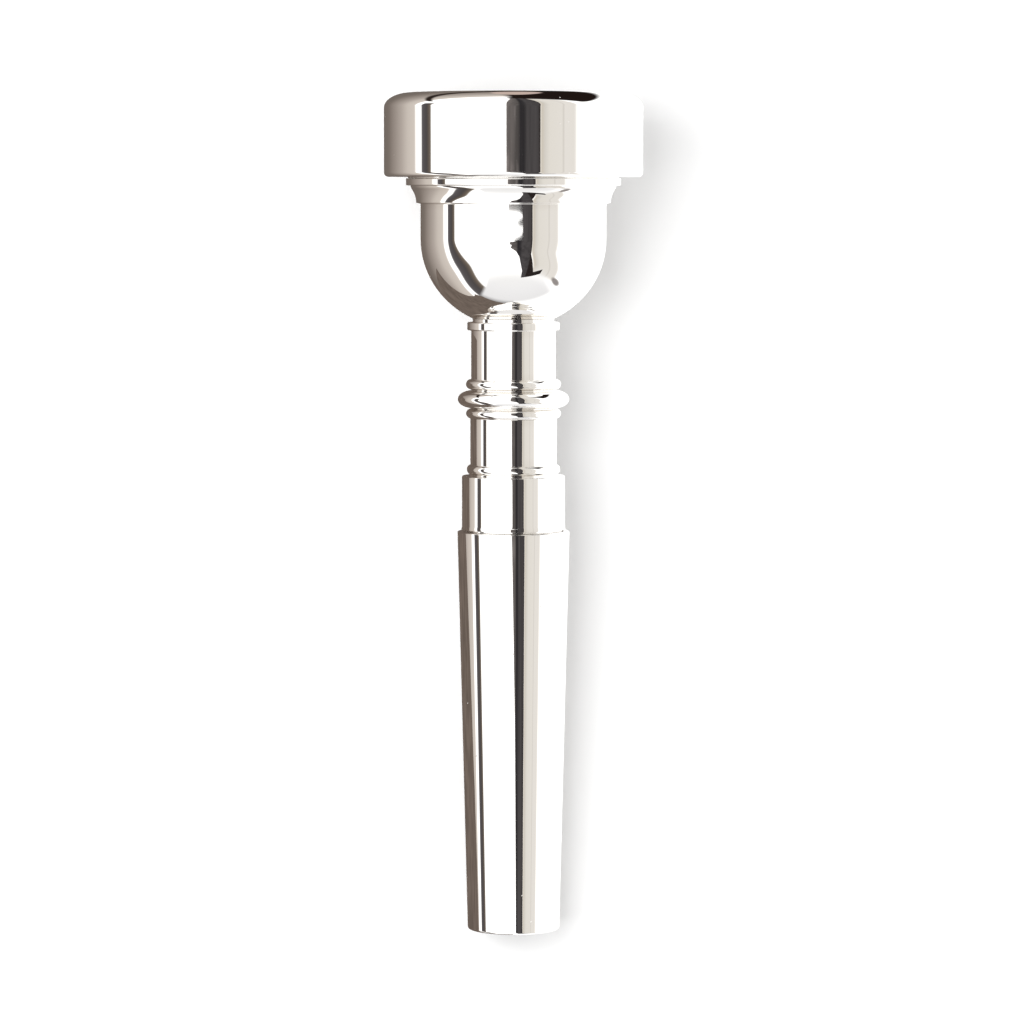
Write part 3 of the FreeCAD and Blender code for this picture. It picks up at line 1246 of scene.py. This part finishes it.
def seen_only_by(
    thing: bpy.types.Object, camera: bool, diffuse: bool, glossy: bool, shadow: bool
) -> None:
    """Sets which rays meet the object.

    Args:
        thing: the object.
        camera: whether the camera sees it.
        diffuse: whether it lights or shades matt surfaces.
        glossy: whether polished surfaces show it.
        shadow: whether it throws a shadow.
    """
    thing.visible_camera = camera
    thing.visible_diffuse = diffuse
    thing.visible_glossy = glossy
    thing.visible_shadow = shadow
    thing.visible_transmission = camera


@dataclass
class Table:
    """The pale table top that the mouthpiece lies on."""

    half_size: float = 1.6
    colour: Colour = (0.93, 0.93, 0.93)

    def build(self) -> bpy.types.Object:
        """A flat sheet at the row frame's floor; its reflection comes from the surroundings.

        Returns:
            The table top.
        """
        paper, sheet = blank_material("table_paper")
        sheet.close("BsdfDiffuse", {"Color": self.colour})
        edge = self.half_size * np.array([[-1, -1], [1, -1], [1, 1], [-1, 1]], float)
        thing = flat_sheet("table_top", edge, 0.0, paper)
        seen_only_by(thing, camera=True, diffuse=True, glossy=False, shadow=True)
        return thing


@dataclass
class CameraArm:
    """The dark arm over the table that carries the camera; only reflections show it."""

    height: float = 0.45
    width_step: Steps = (-0.04, 0.19)
    mottle_scale: float = 30.0
    mottle_step: Steps = (0.3, 0.7, 0.8, 1.2)
    patch_scale: float = 22.0
    patch_stretch: tuple[float, float, float] = (1.0, 6.0, 1.0)
    patch_step: Steps = (0.5, 0.75)
    patch_reach: Steps = (0.38, 0.28)
    shades = (
        (0.0, (112, 106, 104)), (0.30, (84, 80, 79)), (0.37, (46, 44, 46)), (0.47, (52, 50, 52)),
        (0.56, (74, 71, 72)), (0.93, (70, 67, 68)), (1.0, (42, 36, 35)),
    )

    def outline(self) -> np.ndarray:
        """The arm's uneven outline, left edge from back to front and right edge back again.

        Returns:
            Corners in mm, n by 2.
        """
        left = [
            (-47, 2500), (-47, -16), (-40, -18.6), (52, -18.9), (86, -19.6), (86, -20.6),
            (44, -21.2), (44, -21.8), (90, -22.2), (90, -23.2), (72, -23.8), (8, -24.6),
            (4, -27), (20, -33),
            (0, -39), (-34, -43), (-37, -55), (-32, -69), (-20, -74), (-19, -85), (-26, -101),
            (-25, -107), (2, -127), (27, -148), (49, -192), (60, -215), (114, -484), (118, -700),
        ]
        right = [(480, -700), (480, -560), (295, -560), (225, -300), (190, -192), (189, 2500)]
        return np.array(left + right, float)

    def paint(self) -> bpy.types.Material:
        """The arm's glow: shades across it, mottled, with light patches towards its left.

        Returns:
            The material.
        """
        made, sheet = blank_material("arm_paint")
        place = sheet.place()
        across = sheet.rise(sheet.split(place)[0], *self.width_step)
        across.node.interpolation_type = "LINEAR"
        stretched = sheet.vector("MULTIPLY", place, self.patch_stretch)
        patch = sheet.rise(sheet.noise(stretched, self.patch_scale, 5.0), *self.patch_step)
        uneven = sheet.product(patch, sheet.rise(across, *self.patch_reach))
        mottle = sheet.rise(sheet.noise(place, self.mottle_scale, 4.0), *self.mottle_step)
        shade = sheet.ramp(across, [(share, linear(*colour)) for share, colour in self.shades])
        sheet.close("Emission", {"Color": shade, "Strength": sheet.maths("ADD", mottle, uneven)})
        return made

    def build(self) -> bpy.types.Object:
        """A flat sheet with the arm's outline.

        Returns:
            The arm.
        """
        thing = flat_sheet("camera_arm", self.outline() * MM, self.height, self.paint())
        seen_only_by(thing, camera=False, diffuse=False, glossy=True, shadow=False)
        return thing


@dataclass
class TableGloom:
    """The dim part of the table beside the shank, which the tent's light doesn't reach."""

    lift: float = 0.0004
    shade: Colour = linear(112, 100, 92)
    mottle_scale: float = 260.0
    mottle_step: Steps = (0.3, 0.7, 0.8, 1.15)
    edge = (
        (-14, 38), (-14, 19), (-28, 18), (-28, 0), (-30, -12), (-37, -30), (-48, -45), (-50, -70),
        (0, -70), (0, 38),
    )

    def build(self) -> bpy.types.Object:
        """A flat sheet just over the table that only reflections show; its edge is in mm.

        Returns:
            The sheet.
        """
        made, sheet = blank_material("gloom")
        mottle = sheet.rise(sheet.noise(sheet.place(), self.mottle_scale, 5.0), *self.mottle_step)
        sheet.close("Emission", {"Color": self.shade, "Strength": mottle})
        thing = flat_sheet("table_gloom", np.array(self.edge, float) * MM, self.lift, made)
        seen_only_by(thing, camera=False, diffuse=False, glossy=True, shadow=False)
        return thing


@dataclass(frozen=True)
class Ray:
    """A reflection's direction in sockets: its parts, and its angles in degrees.

    The turn goes from straight up towards the right about the table's long axis, the dip up from
    the table's level, and the bearing from the rim's end towards the right.
    """

    whole: Socket
    right: Socket
    back: Socket
    up: Socket
    front: Socket
    turn: Socket
    dip: Socket
    bearing: Socket


class Surroundings:
    """The white light tent round the table, as the polished metal reflects it.

    Each pair of numbers is a smooth step's two limits, and each four its limits and levels.  They
    are read from a direction's parts, from -1 to 1, or from its angles in degrees.
    """

    WHITE = (1.5, 1.5, 1.5)
    FILL = (0.80, 0.80, 0.80)
    BACKDROP = (0.88, 0.88, 0.88)
    LIT = None

    # the cloth by the turn, from the table's left over the top to its right
    CLOTH = (
        (-180.0, (110, 101, 95)), (-150.0, (118, 109, 102)), (-143.0, (127, 117, 110)),
        (-129.0, (156, 146, 139)), (-118.0, (178, 168, 161)), (-108.0, (203, 194, 186)),
        (-97.5, (213, 204, 196)), (-96.2, LIT), (-89.6, LIT), (-88.7, (104, 101, 103)),
        (-87.0, (88, 84, 86)), (-83.0, (78, 74, 74)), (-80.5, (98, 88, 80)),
        (-78.5, (128, 117, 106)), (-77.5, LIT), (22.0, LIT), (24.5, (206, 197, 183)),
        (28.0, (215, 211, 204)), (32.0, (228, 224, 217)), (44.5, (231, 227, 221)),
        (45.3, (206, 201, 194)), (46.0, (232, 228, 223)), (56.0, (232, 228, 222)), (60.0, LIT),
        (180.0, LIT),
    )
    # the left of it slides and widens towards the front, from the seam at the table's level
    SEAM = -89.5
    LEFT_SLIDE = (0.50, 1.05, -90.0, -73.0)
    LEFT_WIDENING = (0.0, 0.60, 1.0, 1.72)
    RIGHT_WIDENING = (0.30, 0.75, 1.0, 1.35)

    # the grey front wall, from the floor up
    FRONT_WALL = (
        (0.0, LIT), (0.34, LIT), (0.42, (236, 236, 238)), (0.60, (243, 243, 245)),
        (0.80, (250, 250, 250)), (0.86, LIT),
    )
    WALL_FRONT = (0.60, 0.90)
    WALL_LEFT = (-0.50, -0.43)
    WALL_RIGHT = (0.50, 0.66)
    WALL_DIP = (-15.0, -4.0)
    OPEN_FRONT = (0.74, 0.82)
    OPEN_RIGHT = (0.0, 0.1)

    # a dark spot at the front right
    SPOT = (0.66, -0.75, 0.04)
    SPOT_STRETCH = (1.3, 1.3, 0.45)
    SPOT_STEP = (0.04, 0.09, 0.85, 0.0)
    SPOT_SHADE = (90, 76, 72)

    # the rim's end: clear cloth on the left, a thin dark arc, a black gap and the pool of light
    CLEAR_BACK = (0.40, 0.55)
    CLEAR_DIP = (-3.0, 1.0)
    CLEAR_BEARING = (-4.0, -1.0)
    ARC_SLOPE = -1.2
    ARC_DROP = 60.0
    ARC_WIDTH = (1.5, 6.0)
    ARC_START = (-52.0, -46.0)
    ARC_END = (2.0, 6.0)
    ARC_SHADE = (44, 36, 32)
    GAP_START = (-4.0, 0.0)
    GAP_END = (44.0, 54.0)
    GAP_TOP = (0.20, 0.30)
    GAP_SLOPE = -1.8
    GAP_DROP = 80.0
    GAP_FLOOR = (-3.0, 5.0)
    GAP_SHADE = (32, 24, 21)
    POOL_BEARING = 0.5
    POOL_DIP = -40.0
    POOL_HALF_WIDTH = 4.5
    POOL_HALF_HEIGHT = 15.0
    POOL_EDGE = (0.8, 1.25)
    POOL_SHADE = (198, 178, 168)

    def ramp(self, sheet: Sheet, value: Socket, shades: tuple, low: float, high: float) -> Socket:
        """Shades along a value.

        Args:
            sheet: the world's sheet.
            value: the value, already brought to 0 to 1.
            shades: values between low and high with display colours, or LIT.
            low: the value that 0 stands for.
            high: the value that 1 stands for.

        Returns:
            The colour.
        """
        stops = [
            ((place - low) / (high - low), self.WHITE if shade is self.LIT else linear(*shade))
            for place, shade in shades
        ]
        return sheet.ramp(value, stops)

    def ray(self, sheet: Sheet) -> Ray:
        """The direction that the sheet's world is asked for.

        Args:
            sheet: the world's sheet.

        Returns:
            The direction's parts and angles.
        """
        whole = sheet.node("TexCoord").outputs["Generated"]
        right, back, up = sheet.split(whole)
        front = sheet.product(back, -1.0)
        turn = sheet.degrees("ARCTAN2", right, up)
        dip = sheet.degrees("ARCSINE", up)
        bearing = sheet.degrees("ARCTAN2", right, back)
        return Ray(whole, right, back, up, front, turn, dip, bearing)

    def cloth(self, sheet: Sheet, ray: Ray) -> Socket:
        """The tent's cloth and the table's edges, by the turn.

        On the left the turn is the dip less 90, slid up towards the front, and what lies above
        the seam there is divided by a widening.  On the right it is the turn over a widening.

        Args:
            sheet: the world's sheet.
            ray: the direction.

        Returns:
            The colour.
        """
        slid = sheet.maths("ADD", ray.dip, sheet.rise(ray.front, *self.LEFT_SLIDE))
        above = sheet.maths("MAXIMUM", sheet.maths("ADD", slid, -self.SEAM), 0.0)
        shrunk = sheet.maths("DIVIDE", above, sheet.rise(ray.front, *self.LEFT_WIDENING))
        left = sheet.maths("ADD", sheet.maths("MINIMUM", slid, self.SEAM), shrunk)
        right = sheet.maths("DIVIDE", ray.turn, sheet.rise(ray.front, *self.RIGHT_WIDENING))
        on_right = sheet.maths("GREATER_THAN", ray.right, 0.0)
        left_part = sheet.product(left, sheet.maths("SUBTRACT", 1.0, on_right))
        turn = sheet.maths("MULTIPLY_ADD", right, on_right, left_part)
        share = sheet.maths("MULTIPLY_ADD", turn, 1.0 / 360.0, 0.5)
        return self.ramp(sheet, share, self.CLOTH, -180.0, 180.0)

    def front_end(self, sheet: Sheet, ray: Ray, cloth: Socket) -> Socket:
        """The cloth with the grey wall at the tip's end and the dark spot beside it.

        Args:
            sheet: the world's sheet.
            ray: the direction.
            cloth: the colour so far.

        Returns:
            The colour.
        """
        height = sheet.maths("MULTIPLY_ADD", ray.up, 0.5, 0.5)
        grey = self.ramp(sheet, height, self.FRONT_WALL, 0.0, 1.0)
        sides = (sheet.rise(ray.right, *self.WALL_LEFT), sheet.fall(ray.right, *self.WALL_RIGHT))
        at_front = sheet.rise(ray.front, *self.WALL_FRONT)
        on_wall = sheet.product(at_front, *sides, sheet.rise(ray.dip, *self.WALL_DIP))
        beyond = sheet.rise(ray.front, *self.OPEN_FRONT)
        opening = sheet.product(beyond, sheet.rise(ray.right, *self.OPEN_RIGHT))
        greyed = sheet.blend(on_wall, sheet.blend(opening, cloth, self.WHITE), grey)
        offset = sheet.vector("SUBTRACT", ray.whole, self.SPOT)
        stretched = sheet.vector("MULTIPLY", offset, self.SPOT_STRETCH)
        length = sheet.node("VectorMath", {0: stretched}, operation="LENGTH").outputs["Value"]
        return sheet.blend(sheet.rise(length, *self.SPOT_STEP), greyed, linear(*self.SPOT_SHADE))

    def rim_end(self, sheet: Sheet, ray: Ray, cloth: Socket) -> Socket:
        """The cloth with what stands beyond the rim: the arc, the black gap and the pool of light.

        The arc and the gap's floor are lines whose dip falls with the bearing.  The pool is an
        ellipse of bearing and dip.

        Args:
            sheet: the world's sheet.
            ray: the direction.
            cloth: the colour so far.

        Returns:
            The colour.
        """
        at_back = sheet.product(
            sheet.rise(ray.back, *self.CLEAR_BACK),
            sheet.rise(ray.dip, *self.CLEAR_DIP),
            sheet.fall(ray.bearing, *self.CLEAR_BEARING),
        )
        cleared = sheet.blend(at_back, cloth, self.WHITE)

        aside = sheet.maths("ABSOLUTE", ray.bearing)
        lifted = sheet.maths("ADD", ray.dip, self.ARC_DROP)
        off_arc = sheet.maths("MULTIPLY_ADD", aside, self.ARC_SLOPE, lifted)
        on_arc = sheet.product(
            sheet.fall(sheet.maths("ABSOLUTE", off_arc), *self.ARC_WIDTH),
            sheet.rise(ray.bearing, *self.ARC_START),
            sheet.fall(ray.bearing, *self.ARC_END),
        )
        lined = sheet.blend(on_arc, cleared, linear(*self.ARC_SHADE))

        lifted = sheet.maths("ADD", ray.dip, self.GAP_DROP)
        over_floor = sheet.maths("MULTIPLY_ADD", ray.bearing, self.GAP_SLOPE, lifted)
        in_gap = sheet.product(
            sheet.rise(ray.bearing, *self.GAP_START),
            sheet.fall(ray.bearing, *self.GAP_END),
            sheet.fall(ray.up, *self.GAP_TOP),
            sheet.rise(over_floor, *self.GAP_FLOOR),
        )
        gloomy = sheet.blend(in_gap, lined, linear(*self.GAP_SHADE))

        aside = sheet.maths("SUBTRACT", ray.bearing, self.POOL_BEARING)
        below = sheet.maths("SUBTRACT", ray.dip, self.POOL_DIP)
        across = sheet.maths("DIVIDE", aside, self.POOL_HALF_WIDTH)
        down = sheet.maths("DIVIDE", below, self.POOL_HALF_HEIGHT)
        reach = sheet.maths("ADD", sheet.product(across, across), sheet.product(down, down))
        in_pool = sheet.fall(reach, *self.POOL_EDGE)
        return sheet.blend(in_pool, gloomy, linear(*self.POOL_SHADE))

    def build(self) -> bpy.types.World:
        """The world: the tent for polished surfaces, a backdrop for the camera, a fill elsewhere.

        Returns:
            The world.
        """
        world = bpy.data.worlds.new("light_tent")
        bpy.context.scene.world = world
        world.use_nodes = True
        sheet = Sheet(world.node_tree)
        ray = self.ray(sheet)
        cloth = self.front_end(sheet, ray, self.cloth(sheet, ray))
        reflected = self.rim_end(sheet, ray, cloth)
        path = sheet.node("LightPath").outputs
        lit = sheet.blend(path["Is Glossy Ray"], self.FILL, reflected)
        seen = sheet.blend(path["Is Camera Ray"], lit, self.BACKDROP)
        sheet.close("Background", {"Color": seen}, "OutputWorld")
        return world


@dataclass
class KeyLight:
    """A large soft lamp over the table's left side."""

    elevation: float = math.radians(70.0)
    distance: float = 0.8
    size: float = 0.45
    power: float = 3.7

    def build(self) -> bpy.types.Object:
        """A square area lamp that faces the mouthpiece and doesn't show in the metal.

        Returns:
            The lamp.
        """
        lamp = bpy.data.lights.new("key_lamp", "AREA")
        lamp.shape = "SQUARE"
        lamp.size = self.size
        lamp.energy = self.power
        thing = placed("key_lamp", lamp)
        x, z = -self.distance * math.cos(self.elevation), self.distance * math.sin(self.elevation)
        thing.location = (x, 0.0, z)
        thing.rotation_euler = (0.0, self.elevation - math.pi / 2, 0.0)
        seen_only_by(thing, camera=False, diffuse=True, glossy=False, shadow=False)
        return thing


@dataclass
class ViewCamera:
    """A long lens that looks down on the table, leaning a little towards the rim."""

    place: tuple[float, float, float] = (-0.00015, -0.01988, 0.5)
    lean: float = math.atan(0.02 / 0.5)
    focal_length: float = 164.66
    sensor: float = 36.0
    near: float = 0.01

    def build(self) -> bpy.types.Object:
        """The scene's camera, its top edge towards the rim.

        Returns:
            The camera.
        """
        lens = bpy.data.cameras.new("view_camera")
        lens.sensor_width = self.sensor
        lens.lens = self.focal_length
        lens.clip_start = self.near
        thing = placed("view_camera", lens)
        thing.location = self.place
        thing.rotation_euler = (self.lean, 0.0, 0.0)
        bpy.context.scene.camera = thing
        return thing


# --------------------------------------------------------------------------- the whole


def axis_of(record: dict) -> Axis:
    """The mouthpiece's axis, as the record's rim_face mount gives it.

    Args:
        record: the part's record.

    Returns:
        The axis.
    """
    mount = next(m for m in record["mounts"] if m["name"] == "rim_face")
    direction = np.array(mount["axis"], float)
    return Axis(np.array(mount["pos_m"], float), direction / np.linalg.norm(direction))


def report(thing: bpy.types.Object) -> None:
    """Logs a piece's name and how many triangles it has."""
    triangles = sum(len(polygon.vertices) - 2 for polygon in thing.data.polygons)
    LOG.info("%s: %d triangles", thing.name, triangles)


def main() -> None:
    """Builds the pieces in order from the rim to the tip, then the studio."""
    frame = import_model()
    axis = axis_of(frame["record"])
    plate = SilverPlate().material()
    rubber = SealRubber().material()
    seams = Seams()
    rim_ring = (seams.rim_ring_lip, seams.rim_ring_section, seams.inner_seam)
    stub_ring = (seams.stub_ring_lip, seams.stub_ring_section, seams.socket_top)
    pieces = [
        Rim(axis, plate, seams),
        SealRing(axis, rubber, "rim_o_ring", "upper_seal", *rim_ring),
        Cup(axis, plate, seams),
        SealRing(axis, rubber, "backbore_o_ring", "lower_seal", *stub_ring),
        Backbore(axis, plate, seams),
        ShankSleeve(axis, plate, seams),
    ]
    for piece in pieces:
        report(piece.build())
    bpy.context.scene.view_settings.view_transform = "Standard"
    studio = (Table(), CameraArm(), TableGloom(), Surroundings(), KeyLight(), ViewCamera())
    for part_of_studio in studio:
        LOG.info("studio: %s", part_of_studio.build().name)


if __name__ == "__main__":
    logging.basicConfig(level=logging.INFO)
    main()
